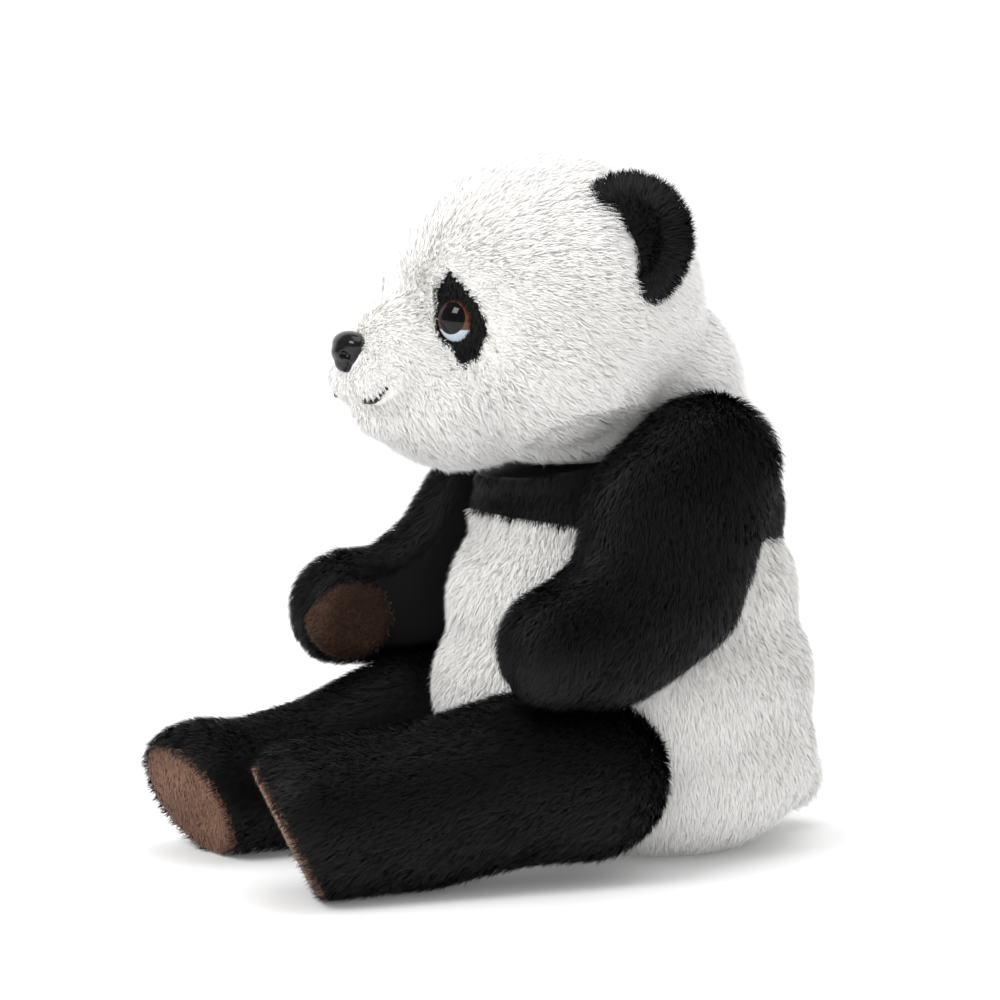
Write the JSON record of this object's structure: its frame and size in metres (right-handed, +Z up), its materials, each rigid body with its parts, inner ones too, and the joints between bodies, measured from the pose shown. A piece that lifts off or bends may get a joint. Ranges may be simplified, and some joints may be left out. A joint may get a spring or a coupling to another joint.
{
  "type": "plush panda",
  "caption": "Seated plush panda with a fur cover over soft filling, a turning head, and sewn arms and legs that swing.",
  "frame": {"origin": "centre of the flat seat, on the surface that the panda sits on", "axes": "-Y is the way the panda faces, +X is its own left side, +Z is up"},
  "size_m": [0.1846, 0.2701, 0.2797],
  "materials": {
    "white_fur": "matte",
    "black_fur": "matte",
    "brown_fur": "matte",
    "stuffing": "matte",
    "pellet_cloth": "matte",
    "eye_plastic": "gloss",
    "washer_plastic": "satin",
    "nose_plastic": "gloss",
    "black_thread": "satin"
  },
  "bodies": {
    "torso": {"torso_cover": "white_fur", "shoulder_yoke": "black_fur", "torso_stuffing": "stuffing", "pellet_bag": "pellet_cloth", "tail": "white_fur"},
    "head": {"head_cover": "white_fur", "muzzle_cover": "white_fur", "head_stuffing": "stuffing", "left_ear": "black_fur", "right_ear": "black_fur", "left_eye_patch": "black_fur", "right_eye_patch": "black_fur", "left_eye": "eye_plastic", "right_eye": "eye_plastic", "left_eye_washer": "washer_plastic", "right_eye_washer": "washer_plastic", "nose": "nose_plastic", "nose_washer": "washer_plastic", "mouth_thread": "black_thread"},
    "left_arm": {"left_arm_cover": "black_fur", "left_arm_stuffing": "stuffing", "left_palm_pad": "brown_fur"},
    "right_arm": {"right_arm_cover": "black_fur", "right_arm_stuffing": "stuffing", "right_palm_pad": "brown_fur"},
    "left_leg": {"left_leg_cover": "black_fur", "left_leg_stuffing": "stuffing", "left_sole_pad": "brown_fur"},
    "right_leg": {"right_leg_cover": "black_fur", "right_leg_stuffing": "stuffing", "right_sole_pad": "brown_fur"}
  },
  "joints": [
    {"name": "head_turn", "type": "hinge", "parent": "torso", "child": "head", "pos_m": [0, 0, 0.166], "axis": [0, -0.1977, 0.9803], "range_deg": [-20, 20]},
    {"name": "left_arm_swing", "type": "hinge", "parent": "torso", "child": "left_arm", "pos_m": [0.052, 0.003, 0.154], "axis": [-0.9962, 0, -0.0872], "range_deg": [0, 40]},
    {"name": "right_arm_swing", "type": "hinge", "parent": "torso", "child": "right_arm", "pos_m": [-0.052, 0.003, 0.154], "axis": [-0.9962, 0, 0.0872], "range_deg": [0, 40]},
    {"name": "left_leg_swing", "type": "hinge", "parent": "torso", "child": "left_leg", "pos_m": [0.055, -0.045, 0.0325], "axis": [-1, 0, 0], "range_deg": [-35, 0]},
    {"name": "right_leg_swing", "type": "hinge", "parent": "torso", "child": "right_leg", "pos_m": [-0.055, -0.045, 0.0325], "axis": [-1, 0, 0], "range_deg": [-35, 0]}
  ]
}
